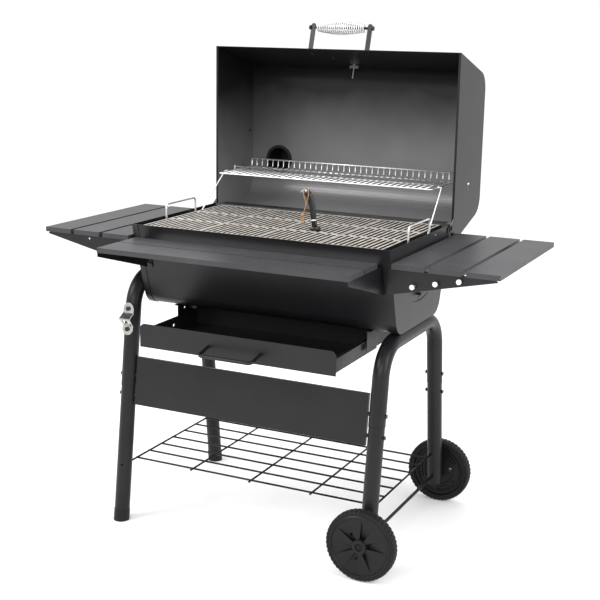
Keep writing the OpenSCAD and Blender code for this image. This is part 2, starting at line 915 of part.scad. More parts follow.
// The grip: rings of round wire that widen towards the middle.
module handle_spring() {
  wire = 2;
  run = 2 * (arm_x - 7.5) - 8;
  pitch = run / grip_turns;
  color(chrome)
    on_front_wall(handle_v)
      for (i = [0 : grip_turns - 1]) {
        u = (i + 0.5) / grip_turns;
        r = grip_end_r + (grip_mid_r - grip_end_r) * sin(180 * u);
        translate([-run / 2 + (i + 0.5) * pitch, -1.5, handle_up])
          rotate([0, 90, 0])
            rotate_extrude($fn = 48)
              translate([r, 0]) circle(wire, $fn = 16);
      }
}

module thermometer() {
  color(chrome)
    on_front_wall(gauge_v) {
      cylinder(h = 5, r = 32);
      translate([0, 0, -46]) cylinder(h = 50, r = 3);
      translate([0, 0, -sheet - 5]) cylinder(h = 5, r = 8);
      box(-15, 15, -1.2, 1.2, -sheet - 12, -sheet - 3);
    }
}

module chimney() {
  y0 = lid_y + lid_deep;
  inner = chimney_r - sheet;
  pin_x = chimney_x + cap_pin_off;
  color(charcoal) {
    difference() {
      union() {
        rod_y(chimney_x, y0 - sheet - 2, y0 + chimney_len, chimney_z, chimney_r);
        rod_y(chimney_x, y0, y0 + 2, chimney_z, chimney_r + 12);
        rod_y(chimney_x, y0 - sheet - 3, y0 - sheet - seam, chimney_z, chimney_r + 8);
        box(chimney_x, pin_x, y0 + chimney_len - 3, y0 + chimney_len, chimney_z - 7, chimney_z + 7);
        rod_y(pin_x, y0 + chimney_len - 3, y0 + chimney_len, chimney_z, 7);
      }
      rod_y(chimney_x, y0 - 20, y0 + chimney_len + 1, chimney_z, inner);
    }
    rod_y(pin_x, y0 + chimney_len - 1, y0 + chimney_len + 3, chimney_z, cap_pin_r);
    rod_y(pin_x, y0 + chimney_len + 2.6, y0 + chimney_len + 6.5, chimney_z, 5.5);
  }
}

// A flat cap that swings aside on its pin to open the chimney.
module chimney_cap() {
  y = lid_y + lid_deep + chimney_len + 0.3;
  pin_x = chimney_x + cap_pin_off;
  color(charcoal)
    difference() {
      union() {
        rod_y(chimney_x, y, y + 2, chimney_z, chimney_r + 3);
        box(chimney_x, pin_x, y, y + 2, chimney_z - 9, chimney_z + 9);
        rod_y(pin_x, y, y + 2, chimney_z, 9);
        box(chimney_x - chimney_r - 20, chimney_x - chimney_r, y, y + 2, chimney_z - 7, chimney_z + 7);
      }
      rod_y(pin_x, y - 1, y + 3, chimney_z, cap_pin_r + 0.06);
    }
}

module lid_bolts() {
  color("#4a4a4c") {
    for (s = [-1, 1]) {
      on_front_wall(handle_v)
        translate([s * arm_x, foot_bolt, -sheet - 3]) cylinder(h = 3 + sheet + 3, r = 2.4);
      on_front_wall(handle_v) translate([s * arm_x, foot_bolt, 3]) cylinder(h = 3, r = 5);
      on_front_wall(handle_v) translate([s * arm_x, foot_bolt, -sheet - 3]) cylinder(h = 3, r = 5);
      on_front_wall(plug_v) translate([s * plug_x, 0, -sheet - 3]) cylinder(h = sheet + 5, r = 2.4);
      on_front_wall(plug_v) translate([s * plug_x, 0, -sheet - 3]) cylinder(h = 3, r = 5);
      on_front_wall(plug_v) translate([s * plug_x, 0, 0]) cylinder(h = 2.5, r = 5);
      // seam bolts on the inside of each end plate
      for (z = [lid_mid - 135, lid_mid, lid_mid + 130])
        mirror([s < 0 ? 1 : 0, 0, 0]) rod_x(lid_end_x - 3.5, lid_end_x, lid_y + lid_deep - 26, z, 4);
    }
  }
}

// ---------------------------------------------------------------- warming rack

// Two bent wires. Each turns in an end plate at its foot and in an ear of the rack at its top.
module rack_legs() {
  r = 2;
  top_x = rack_half + 12;
  color(chrome)
    both_sides() {
      rod_x(rack_leg_x, fb_half + 2.5, leg_foot[0], leg_foot[1], r);
      translate([rack_leg_x, leg_foot[0], leg_foot[1]]) sphere(r, $fn = 24);
      bar([rack_leg_x, leg_foot[0], leg_foot[1]], [top_x, leg_top[0], leg_top[1]], r);
      translate([top_x, leg_top[0], leg_top[1]]) sphere(r, $fn = 24);
      rod_x(rack_half + 3, top_x, leg_top[0], leg_top[1], r);
    }
}

module warming_rack() {
  b = rack_bar / 2;
  z = rack_pin[1];
  pitch = 2 * rack_half / (fence_wires - 1);
  color(chrome)
    difference() {
      union() {
        for (y = [rack_front, 300]) box(-rack_half - b, rack_half + b, y - b, y + b, z - b, z + b);
        box(-rack_half - b, rack_half + b, rack_back - b, rack_back + b, z - b, z + b);
        both_sides() {
          box(rack_half - b, rack_half + b, rack_front - b, rack_back + b, z - b, z + b);
          box(rack_half + b - e, rack_half + b + 3, leg_top[0] - 6, leg_top[0] + 6, z - 5, z + b);
          box(rack_half - b, rack_half + b, rack_back - b, rack_back + b, z, z + fence_h);
        }
        for (i = [1 : fence_wires - 2]) {
          x = -rack_half + i * pitch;
          box(x - 1.5, x + 1.5, rack_front, rack_back, z - 1, z + 2);
          box(x - 1.5, x + 1.5, rack_back - 1.5, rack_back + 1.5, z, z + fence_h);
        }
        box(-rack_half - b, rack_half + b, rack_back - b, rack_back + b, z + fence_h - rack_bar, z + fence_h);
        rod_x(-lid_half_x - 3, lid_half_x + 3, rack_pin[0], rack_pin[1], b);
      }
      for (s = [-1, 1])
        translate([s * (rack_half + 4), leg_top[0], leg_top[1]])
          rotate([0, 90, 0]) cylinder(h = 6, r = 2.06, center = true);
    }
}

// ---------------------------------------------------------------- wheels

hub_recess = 6;
hole_ring = 39;

// One fan-shaped pocket of the wheel face: its floor rises from the hub to the rim.
module wheel_pocket(out, end_r) {
  intersection() {
    translate([0, 0, out - 20])
      linear_extrude(30) polygon([[22, -7], [end_r, -19], [end_r, 19], [22, 7]]);
    rotate([90, 0, 0])
      linear_extrude(60, center = true)
        polygon([[21, out - 15], [end_r, out - 4.5], [end_r, out + 5], [21, out + 5]]);
  }
}

// A stretch of ring with a square section, d deep from height z.
module ring_arc(r0, r1, z, d, angle) {
  rotate([0, 0, -angle / 2])
    rotate_extrude(angle = angle)
      translate([r0, z]) square([r1 - r0, d]);
}

// Wheel body: hub, thick web with fan-shaped pockets outside and ridges inside.
module wheel(side) {
  in = wheel_in;
  out = wheel_in + wheel_w;
  rim_r = wheel_r - 12;
  bore = axle_r + 0.06;
  color("#1b1b1d")
    translate([right_x, 0, axle_z])
      rotate([90, 0, 0])
        mirror([0, 0, side > 0 ? 1 : 0])
          difference() {
            rotate_extrude($fn = 96)
              polygon([
                [bore, in], [20, in], [20, in + 8], [44, in + 9], [45.5, in + 6], [48, in + 6],
                [49.5, in + 9], [69, in + 9], [70.5, in + 6], [73, in + 6], [74.5, in + 9],
                [80, in + 9], [84, in + 2], [rim_r, in + 2], [rim_r, out - 3], [rim_r - 3, out - 0.6],
                [rim_r - 5.5, out - 0.6], [rim_r - 7.5, out - 4], [22, out - 4], [20.5, out],
                [11, out], [11, out - hub_recess], [bore, out - hub_recess]
              ]);
            for (i = [0 : pockets - 1])
              rotate([0, 0, i * 360 / pockets + 12]) wheel_pocket(out, rim_r - 16);
            for (i = [0 : 2 : pockets - 1])
              rotate([0, 0, i * 360 / pockets + 12])
                translate([hole_ring, 0, in - 1])
                  cylinder(h = wheel_w + 4, r = 5);
            for (i = [0 : 2])
              rotate([0, 0, i * 120 + 60])
                difference() {
                  ring_arc(53, 66, in + 5, 8, 62);
                  ring_arc(56, 63, in + 4, 10, 55);
                }
          }
}

module tyre(side) {
  in = wheel_in;
  rim_r = wheel_r - 12;
  color("#161616")
    translate([right_x, 0, axle_z])
      rotate([90, 0, 0])
        mirror([0, 0, side > 0 ? 1 : 0])
          rotate_extrude($fn = 96)
            polygon([
              [rim_r, in + 1], [wheel_r - 5, in], [wheel_r, in + 6], [wheel_r, in + wheel_w - 8],
              [wheel_r - 5, in + wheel_w - 2], [rim_r, in + wheel_w - 3]
            ]);
}

module wheel_front() wheel(-1);
module wheel_rear() wheel(1);
module tyre_front() tyre(-1);
module tyre_rear() tyre(1);

// ---------------------------------------------------------------- grate lifter

// Points of the lifter's stem, from the foot to the hooked head, as (x, z).
stem = [[99, 917], [94, 943], [88, 985], [76, 1016]];
hook = [[76, 1016], [66, 1027], [52, 1024]];

module lifter_bar(a, b, r) {
  bar([a[0], lifter_y, a[1]], [b[0], lifter_y, b[1]], r);
  translate([b[0], lifter_y, b[1]]) sphere(r + 0.3, $fn = 24);
}

module lifter_tool() {
  color("#151515") {
    box(84, 114, lifter_y - 9, lifter_y + 9, grate_top, grate_top + 12);
    for (i = [0 : 2]) lifter_bar(stem[i], stem[i + 1], 8);
  }
  color(chrome)
    for (i = [0 : 1]) lifter_bar(hook[i], hook[i + 1], 5);
}

// The leather lanyard: two strands hang from the head of the lifter and meet in a knot.
lace_r = 1.4;
lace_y = lifter_y - 10;
route_a = [
  [68, lifter_y - 8, 1033], [65, lace_y - 1, 1028], [64, lace_y - 1, 1022], [65, lace_y, 1015],
  [67, lace_y, 1008], [70, lace_y, 1000], [72, lace_y, 992], [72, lace_y, 984], [70, lace_y, 976],
  [67, lace_y, 968], [64, lace_y, 961], [62, lace_y, 953], [61, lace_y, 945], [62, lace_y, 937],
  [64, lace_y, 930], [67, lace_y, 924]
];
route_b = [
  [79, lifter_y - 10, 1029], [81, lace_y - 3, 1024], [82, lace_y - 4, 1018], [81, lace_y - 4, 1010],
  [79, lace_y - 4, 1003], [77, lace_y - 4, 996], [75, lace_y - 4, 989], [73, lace_y - 4, 982],
  [71, lace_y - 4, 975], [69, lace_y - 4, 968], [67, lace_y - 4, 961], [66, lace_y - 4, 954],
  [66, lace_y - 4, 947], [68, lace_y - 4, 941], [71, lace_y - 4, 936]
];

// Sweeps an eight-sided tube along a list of points that lie nearly in one upright plane.
module lace(route) {
  n = len(route);
  sides = 8;
  rings = [for (i = [0 : n - 1])
    let (
      a = route[max(i - 1, 0)],
      b = route[min(i + 1, n - 1)],
      dir = (b - a) / norm(b - a),
      u = cross(dir, [0, 1, 0]) / norm(cross(dir, [0, 1, 0])),
      w = cross(dir, u)
    )
    for (k = [0 : sides - 1])
      route[i] + lace_r * (cos(k * 360 / sides) * u + sin(k * 360 / sides) * w)];
  faces = concat(
    [[for (k = [0 : sides - 1]) k]],
    [for (i = [0 : n - 2], k = [0 : sides - 1])
      [i * sides + k, (i + 1) * sides + k, (i + 1) * sides + (k + 1) % sides, i * sides + (k + 1) % sides]],
    [[for (k = [sides - 1 : -1 : 0]) (n - 1) * sides + k]]
  );
  color(tan_leather) polyhedron(rings, faces);
}

module lanyard_strand_a() lace(route_a);
module lanyard_strand_b() lace(route_b);

module lanyard_knot() {
  color(tan_leather)
    difference() {
      translate([65, lace_y - 2, 957]) sphere(5.5);
      translate([65, lace_y - 2, 957]) cube([30, 7.2, 30], center = true);
    }
}

place() leg_frame_left();
place() leg_frame_right();
place() lower_leg_front_left();
place() lower_leg_rear_left();
place() lower_leg_front_right();
place() lower_leg_rear_right();
place() foot_caps();
place() leg_bolts();
place() front_panel();
place() bottom_rack();
place() axle();
place() firebox_shell();
place() firebox_end_left();
place() firebox_end_right();
place() grate_rests();
place() cooking_grate_1();
place() cooking_grate_2();
place() cooking_grate_3();
place() cooking_grate_4();
place() front_slat_outer();
place() front_slat_inner();
place() front_shelf_brackets();
place() left_slat_1();
place() left_slat_2();
place() left_slat_3();
place() right_slat_1();
place() right_slat_2();
place() right_slat_3();
place() left_shelf_frame();
place() right_shelf_frame();
place() tool_pegs();
place() bottle_opener();
place() frame_bolts();
place() drawer_housing();
place() hinge_brackets();
place() lid_shell();
place() lid_end_left();
place() lid_end_right();
place() handle_frame();
place() handle_spring();
place() thermometer();
place() chimney();
place() lid_bolts();
place() chimney_cap();
place() rack_legs();
place() warming_rack();
place() ash_drawer();
place() drawer_front();
place() drawer_handle();
place() charcoal_tray();
place() tray_handles();
place() air_damper();
place() wheel_front();
place() wheel_rear();
place() tyre_front();
place() tyre_rear();
place() lifter_tool();
place() lanyard_strand_a();
place() lanyard_strand_b();
place() lanyard_knot();
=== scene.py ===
"""Looks of the barrel charcoal grill: materials, round wires, tread, grip, lanyard, light and camera."""

import json
import math

import bpy
from mathutils import Matrix, Vector


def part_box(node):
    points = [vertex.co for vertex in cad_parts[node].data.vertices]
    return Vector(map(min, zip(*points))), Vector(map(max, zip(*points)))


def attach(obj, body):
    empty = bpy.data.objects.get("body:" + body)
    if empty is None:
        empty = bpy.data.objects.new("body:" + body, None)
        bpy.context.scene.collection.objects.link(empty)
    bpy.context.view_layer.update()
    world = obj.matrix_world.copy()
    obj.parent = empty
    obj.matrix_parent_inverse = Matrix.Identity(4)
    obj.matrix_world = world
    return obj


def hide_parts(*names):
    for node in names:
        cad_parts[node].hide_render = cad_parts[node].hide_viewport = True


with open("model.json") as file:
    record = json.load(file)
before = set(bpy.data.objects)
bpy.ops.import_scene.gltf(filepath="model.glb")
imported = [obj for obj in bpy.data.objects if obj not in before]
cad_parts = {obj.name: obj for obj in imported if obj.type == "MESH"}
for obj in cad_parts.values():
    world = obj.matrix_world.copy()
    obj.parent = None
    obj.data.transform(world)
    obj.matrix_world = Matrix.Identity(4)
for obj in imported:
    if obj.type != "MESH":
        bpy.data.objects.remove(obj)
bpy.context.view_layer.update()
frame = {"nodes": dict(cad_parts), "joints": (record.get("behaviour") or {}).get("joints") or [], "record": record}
scene = bpy.context.scene
nodes = frame["nodes"]

# ------------------------------------------------------------------ sizes, in metres
END_WIRE = 0.003        # radius of the bottom rack's two end wires
FILL_WIRE = 0.0029      # radius of its other wires
FRAME_WIRE = 0.0025     # radius of the warming rack's frame wires
DECK_WIRE = 0.0015      # radius of its deck wires
EAR_WIRE = 0.0016       # radius of the wire of its ears
EAR_RING = 0.0045       # radius of an ear's ring
RACK_HALF = 0.360       # half of the warming rack's length
RACK_FENCE = 37         # upright wires in the rack's fence
RACK_TURN = 0.010       # corner radius of the rack's frame wire
ROD_INSET = 0.030       # distance of the rear rod from the rack's rear wire
BOTTOM_HALF = 0.212     # half of the bottom rack's depth
BOTTOM_WIRES = 7        # lengthwise wires of the bottom rack
BOTTOM_BARS = 3         # cross wires between its two end wires
OVERHANG = 0.006        # how far the cross wires pass the outer ones
GRIP_TURNS = 23         # turns of the spring grip
GRIP_WIRE = 0.0018      # radius of its wire
GRIP_END = 0.011        # radius of its first and last turn
GRIP_MID = 0.020        # radius of its middle turn
TREAD_BLOCKS = 48       # tread blocks round a tyre
TREAD_DEEP = 0.0022     # depth of the grooves between them
TYRE_WALL = 0.0118      # thickness of a tyre
LACE = 0.0028           # diameter of the lanyard's lace
LEGS = ["lower_leg_front_left", "lower_leg_rear_left", "lower_leg_front_right", "lower_leg_rear_right"]
STAND_Y = -0.07745      # middle of the stand, and the shift between design and frame
FOOT_Y = 0.290          # distance of a foot from that middle
LEG_LEAN = math.radians(7.27)
SEAM_Z = 0.4197         # height of the seam in each leg
SEAM_R = 0.0236         # radius of the seam's ring
SEAM_WIRE = 0.0006      # radius of its line
SEAM_STEPS = 48         # sides of the ring
LID_CENTRE = (0.0, 0.283, 1.135)    # middle of the lid's hollow, as it is drawn, open
LID_PAINTED_LIGHT_SPAN = (0.93, 1.42)             # heights between which its inner paint goes from painted light low down to painted shade at the top
FINE_RELIEF = 0.0003                # height of the grain in a bump


# ------------------------------------------------------------------ mesh code
def smooth_corner(points, radius, steps=6):
    """The polyline with each inner corner rounded to about that radius."""
    if len(points) < 3:
        return [Vector(p) for p in points]
    pts = [Vector(p) for p in points]
    out = [pts[0]]
    for a, b, c in zip(pts, pts[1:], pts[2:]):
        cut = min(radius, 0.45 * (a - b).length, 0.45 * (c - b).length)
        start = b + (a - b).normalized() * cut
        end = b + (c - b).normalized() * cut
        for i in range(steps + 1):
            t = i / steps
            out.append((1 - t) ** 2 * start + 2 * t * (1 - t) * b + t * t * end)
    out.append(pts[-1])
    return out


def sweep(verts, faces, points, radius, sides=12, closed=False):
    """Adds a round bar of that radius that follows the points."""
    pts = [Vector(p) for p in points]
    n = len(pts)
    up = None
    first = len(verts)
    for i, p in enumerate(pts):
        if closed:
            before, after = pts[i - 1], pts[(i + 1) % n]
        else:
            before, after = pts[max(i - 1, 0)], pts[min(i + 1, n - 1)]
        along = (after - before).normalized()
        if up is None:
            up = along.orthogonal().normalized()
        up = (up - along * up.dot(along)).normalized()
        side = along.cross(up)
        for k in range(sides):
            a = 2 * math.pi * k / sides
            verts.append(p + radius * (math.cos(a) * up + math.sin(a) * side))
    for i in range(n if closed else n - 1):
        for k in range(sides):
            a = first + i * sides
            b = first + ((i + 1) % n) * sides
            m = (k + 1) % sides
            faces.append((a + k, a + m, b + m, b + k))
    if not closed:
        faces.append(tuple(first + k for k in reversed(range(sides))))
        faces.append(tuple(first + (n - 1) * sides + k for k in range(sides)))


def piece(name, verts, faces, material, body, replaced):
    """A finished mesh object that stands for CAD nodes and rides on a body."""
    mesh = bpy.data.meshes.new(name)
    mesh.from_pydata([tuple(v) for v in verts], [], faces)
    mesh.validate()
    for polygon in mesh.polygons:
        polygon.use_smooth = True
    obj = bpy.data.objects.new(name, mesh)
    scene.collection.objects.link(obj)
    mesh.materials.append(material)
    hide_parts(*replaced)
    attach(obj, body)
    return obj


def soften(names, width):
    """Rounds the sharp edges of CAD nodes a little, as folded and cut steel is."""
    for name in names:
        bevel = nodes[name].modifiers.new("soft edge", "BEVEL")
        bevel.width = width
        bevel.segments = 2
        bevel.limit_method = "ANGLE"
        bevel.angle_limit = math.radians(40)
        bevel.use_clamp_overlap = True


# ------------------------------------------------------------------ materials
def new_material(name):
    """A node material, its tree and its shader."""
    material = bpy.data.materials.new(name)
    material.use_nodes = True
    shader = material.node_tree.nodes["Principled BSDF"]
    return material, material.node_tree, shader


def noise(tree, scale, detail=3.0, stretch=(1, 1, 1)):
    """Noise in the object's own coordinates, in metres."""
    coords = tree.nodes.new("ShaderNodeTexCoord")
    mapping = tree.nodes.new("ShaderNodeMapping")
    mapping.inputs["Scale"].default_value = stretch
    texture = tree.nodes.new("ShaderNodeTexNoise")
    texture.inputs["Scale"].default_value = scale
    texture.inputs["Detail"].default_value = detail
    tree.links.new(coords.outputs["Object"], mapping.inputs["Vector"])
    tree.links.new(mapping.outputs["Vector"], texture.inputs["Vector"])
    return texture.outputs["Fac"]


def ramp(tree, value, low, high, start=0.35, end=0.65):
    """Turns a value into a colour between low and high."""
    node = tree.nodes.new("ShaderNodeValToRGB")
    node.color_ramp.elements[0].position = start
    node.color_ramp.elements[1].position = end
    node.color_ramp.elements[0].color = (*low, 1)
    node.color_ramp.elements[1].color = (*high, 1)
    tree.links.new(value, node.inputs["Fac"])
    return node.outputs["Color"]


def spread(tree, value, low, high):
    """Maps a value from 0 to 1 on to the range from low to high."""
    node = tree.nodes.new("ShaderNodeMapRange")
    node.inputs["To Min"].default_value = low
    node.inputs["To Max"].default_value = high
    tree.links.new(value, node.inputs["Value"])
    return node.outputs["Result"]


def bump(tree, shader, value, strength):
    """Lifts the surface with the value."""
    node = tree.nodes.new("ShaderNodeBump")
    node.inputs["Strength"].default_value = strength
    node.inputs["Distance"].default_value = FINE_RELIEF
    tree.links.new(value, node.inputs["Height"])
    tree.links.new(node.outputs["Normal"], shader.inputs["Normal"])


def surface(name, colour, rough, metal=0.0, vary=0.12, patch=9.0, grain=900.0, relief=0.15,
            stretch=(1, 1, 1), coat=0.0, shine=0.5):
    """A surface with slow colour patches, a roughness that varies and a fine grain."""
    material, tree, shader = new_material(name)
    low = tuple(c * (1 - vary) for c in colour)
    high = tuple(min(c * (1 + vary), 1) for c in colour)
    slow = noise(tree, patch, 4.0)
    fine = noise(tree, grain, 2.0, stretch)
    tree.links.new(ramp(tree, slow, low, high), shader.inputs["Base Color"])
    tree.links.new(spread(tree, fine, rough - 0.06, rough + 0.06), shader.inputs["Roughness"])
    shader.inputs["Metallic"].default_value = metal
    shader.inputs["Coat Weight"].default_value = coat
    shader.inputs["Specular IOR Level"].default_value = shine
    bump(tree, shader, fine, relief)
    return material


body_paint = surface("body_powder_coat", (0.0075, 0.0072, 0.0085), 0.36, grain=1100, relief=0.22, shine=0.30)
leg_paint = surface("leg_powder_coat", (0.008, 0.0078, 0.009), 0.36, grain=1200, relief=0.18, shine=0.24)
shelf_paint = surface("shelf_powder_coat", (0.040, 0.0385, 0.042), 0.40, grain=1000, relief=0.25, shine=0.26)
rack_paint = surface("rack_enamel", (0.005, 0.005, 0.006), 0.34, grain=500, relief=0.08, shine=0.16)
bright = surface("bright_wire", (0.78, 0.78, 0.78), 0.32, metal=0.85, vary=0.10, patch=40, grain=1500,
                 relief=0.04)
aged = surface("aged_steel", (0.22, 0.21, 0.20), 0.34, metal=1.0, vary=0.2, patch=60, grain=900, relief=0.1)
stamped = surface("stamped_steel", (0.50, 0.485, 0.465), 0.24, metal=1.0, vary=0.12, patch=50,
                  grain=1200, relief=0.08)
# Dark steel for the charcoal tray and grate rests, also used as painted shade on the leg seam rings.
soot_and_seam_shade = surface("sooty_steel_and_seam_shade", (0.012, 0.011, 0.011), 0.55, vary=0.3, patch=30, grain=600, relief=0.3,
               shine=0.2)
brushed = surface("brushed_steel", (0.66, 0.65, 0.63), 0.30, metal=1.0, vary=0.10, patch=20, grain=700,
                  relief=0.10, stretch=(0.05, 1, 1))
bolt_steel = surface("dark_bolt", (0.03, 0.03, 0.033), 0.30, metal=0.6, patch=60, grain=1500,
                     relief=0.10, shine=0.4)
plastic = surface("wheel_plastic", (0.006, 0.006, 0.007), 0.40, grain=1600, relief=0.16, shine=0.22)
rubber = surface("tyre_rubber", (0.007, 0.007, 0.007), 0.55, vary=0.2, patch=25, grain=1400,
                 relief=0.25, shine=0.18)
leather = surface("lace_leather", (0.36, 0.19, 0.07), 0.62, vary=0.28, patch=120, grain=2500, relief=0.4)
tool_paint = surface("tool_enamel", (0.004, 0.004, 0.004), 0.25, patch=40, grain=900, relief=0.05,
                     coat=0.3, shine=0.4)


def cast_iron():
    """Enamelled cast bars: pale on top as painted light from above, and dark on their sides and below as painted
    shade.
    """
    material, tree, shader = new_material("grate_iron")
    geometry = tree.nodes.new("ShaderNodeNewGeometry")
    split = tree.nodes.new("ShaderNodeSeparateXYZ")
    tree.links.new(geometry.outputs["True Normal"], split.inputs["Vector"])
    slow = noise(tree, 45, 4.0)
    fine = noise(tree, 750, 3.0)
    # Faces that point up get a pale colour as painted light; sides and undersides get a near-black colour as
    # painted shade.
    top = ramp(tree, slow, (0.27, 0.25, 0.225), (0.50, 0.465, 0.42))
    mix = tree.nodes.new("ShaderNodeMix")
    mix.data_type = "RGBA"
    mix.inputs[6].default_value = (0.008, 0.007, 0.006, 1)
    painted_light_facing = tree.nodes.new("ShaderNodeMapRange")
    painted_light_facing.inputs["From Min"].default_value = 0.35
    painted_light_facing.inputs["From Max"].default_value = 0.75
    tree.links.new(split.outputs["Z"], painted_light_facing.inputs["Value"])
    tree.links.new(painted_light_facing.outputs["Result"], mix.inputs["Factor"])
    tree.links.new(top, mix.inputs[7])
    tree.links.new(mix.outputs[2], shader.inputs["Base Color"])
    tree.links.new(spread(tree, fine, 0.38, 0.56), shader.inputs["Roughness"])
    shader.inputs["Metallic"].default_value = 0.0
    shader.inputs["Specular IOR Level"].default_value = 0.4
    bump(tree, shader, fine, 0.3)
    return material


iron = cast_iron()


def lid_paint_with_painted_light():
    """The lid: black outside, and inside a grey that is painted light low down and turns to painted shade towards
    the top, by height.
    """
    material, tree, shader = new_material("lid_painted_light")
    coords = tree.nodes.new("ShaderNodeTexCoord")
    inward = tree.nodes.new("ShaderNodeVectorMath")
    inward.operation = "SUBTRACT"
    inward.inputs[0].default_value = LID_CENTRE
    tree.links.new(coords.outputs["Object"], inward.inputs[1])
    dot = tree.nodes.new("ShaderNodeVectorMath")
    dot.operation = "DOT_PRODUCT"
    tree.links.new(inward.outputs["Vector"], dot.inputs[0])
    tree.links.new(coords.outputs["Normal"], dot.inputs[1])
    inside = tree.nodes.new("ShaderNodeMath")
    inside.operation = "GREATER_THAN"
    inside.inputs[1].default_value = 0.0
    tree.links.new(dot.outputs["Value"], inside.inputs[0])
    split = tree.nodes.new("ShaderNodeSeparateXYZ")
    tree.links.new(coords.outputs["Object"], split.inputs["Vector"])
    height = tree.nodes.new("ShaderNodeMapRange")
    height.inputs["From Min"].default_value = LID_PAINTED_LIGHT_SPAN[0]
    height.inputs["From Max"].default_value = LID_PAINTED_LIGHT_SPAN[1]
    tree.links.new(split.outputs["Z"], height.inputs["Value"])
    cloud = noise(tree, 5, 3.0)
    blend = tree.nodes.new("ShaderNodeMath")
    blend.operation = "MULTIPLY_ADD"
    blend.inputs[1].default_value = 0.25
    tree.links.new(cloud, blend.inputs[0])
    tree.links.new(height.outputs["Result"], blend.inputs[2])
    # Painted light and shade inside the lid: pale grey low down, as dark as the outside towards the top, with some
    # random clouding.
    painted_light_grey = ramp(tree, blend.outputs["Value"], (0.24, 0.235, 0.24), (0.009, 0.0087, 0.010), 0.14, 0.86)
    mix = tree.nodes.new("ShaderNodeMix")
    mix.data_type = "RGBA"
    mix.inputs[6].default_value = (0.0085, 0.0082, 0.0095, 1)
    tree.links.new(inside.outputs["Value"], mix.inputs["Factor"])
    tree.links.new(painted_light_grey, mix.inputs[7])
    tree.links.new(mix.outputs[2], shader.inputs["Base Color"])
    fine = noise(tree, 1300, 2.0)
    tree.links.new(spread(tree, fine, 0.32, 0.44), shader.inputs["Roughness"])
    shader.inputs["Metallic"].default_value = 0.35
    shader.inputs["Specular IOR Level"].default_value = 0.35
    bump(tree, shader, fine, 0.2)
    return material


lid_paint = lid_paint_with_painted_light()

BY_SLOT = {
    "body_paint": body_paint,
    "leg_paint": leg_paint,
    "lid_paint": lid_paint,
    "shelf_paint": shelf_paint,
    "rack_paint": rack_paint,
    "grate_iron": iron,
    "bright_wire": bright,
    "brushed_fitting": brushed,
    "bolt_steel": bolt_steel,
    "wheel_plastic": plastic,
    "cap_plastic": plastic,
    "tyre_rubber": rubber,
    "lifter_paint": tool_paint,
    "lanyard_leather": leather,
}

# Nodes that look unlike the rest of their slot
BY_NODE = {
    "axle": rack_paint,
    "chimney": body_paint,
    "thermometer": aged,
    "bottle_opener": stamped,
    "charcoal_tray": soot_and_seam_shade,
    "grate_rests": soot_and_seam_shade,
}


def paint_cad_nodes():
    """Gives every CAD node the material of its slot in the record."""
    for part in frame["record"]["subparts"]:
        obj = nodes.get(part["node"])
        if obj is None:
            continue
        if not obj.material_slots:
            obj.data.materials.append(None)
        for material_slot in obj.material_slots:
            material_slot.material = BY_NODE.get(part["node"], BY_SLOT[part["material_slot"]])


# ------------------------------------------------------------------ camera
def add_camera():
    """A camera at the viewing angle of the reference, a little to the right and above."""
    azimuth = math.radians(25.6)
    elevation = math.radians(13.2)
    roll = math.radians(1.0)
    back = Vector((
        math.sin(azimuth) * math.cos(elevation),
        -math.cos(azimuth) * math.cos(elevation),
        math.sin(elevation),
    ))
    right = Vector((math.cos(azimuth), math.sin(azimuth), 0))
    up = back.cross(right)
    tilted_right = math.cos(roll) * right + math.sin(roll) * up
    tilted_up = math.cos(roll) * up - math.sin(roll) * right
    turn = Matrix((tilted_right, tilted_up, back)).transposed().to_4x4()
    camera = bpy.data.cameras.new("camera")
    camera.lens = 71.0
    camera.sensor_width = 36.0
    camera.clip_end = 400
    obj = bpy.data.objects.new("camera", camera)
    scene.collection.objects.link(obj)
    obj.matrix_world = Matrix.Translation((1.522, -3.197, 1.498)) @ turn
    scene.camera = obj


# ------------------------------------------------------------------ lanyard
def from_design(points):
    """Points of the design, in millimetres, as places in the frame, in metres."""
    return [Vector((x / 1000, (y + STAND_Y * 1000) / 1000, z / 1000)) for x, y, z in points]


def add_lanyard():
    """Two leather strands that hang from the head of the lifter to a knot and their tails."""
    lifter_y = -56
    lace_y = lifter_y - 10
    strand_a = [
        [68, lifter_y - 8, 1033], [65, lace_y - 1, 1028], [64, lace_y - 1, 1022], [65, lace_y, 1015],
        [67, lace_y, 1008], [70, lace_y, 1000], [72, lace_y, 992], [72, lace_y, 984], [70, lace_y, 976],
        [67, lace_y, 968], [64, lace_y, 961], [62, lace_y, 953], [61, lace_y, 945], [62, lace_y, 937],
        [64, lace_y, 930], [67, lace_y, 924],
    ]
    strand_b = [
        [79, lifter_y - 10, 1029], [81, lace_y - 3, 1024], [82, lace_y - 4, 1018], [81, lace_y - 4, 1010],
        [79, lace_y - 4, 1003], [77, lace_y - 4, 996], [75, lace_y - 4, 989], [73, lace_y - 4, 982],
        [71, lace_y - 4, 975], [69, lace_y - 4, 968], [67, lace_y - 4, 961], [66, lace_y - 4, 954],
        [66, lace_y - 4, 947], [68, lace_y - 4, 941], [71, lace_y - 4, 936],
    ]
    for name, route in (("lanyard_strand_a", strand_a), ("lanyard_strand_b", strand_b)):
        points = from_design(route)
        verts, faces = [], []
        sweep(verts, faces, points, LACE / 2, sides=8)
        lace = piece(name + "_lace", verts, faces, leather, "stand", [name])


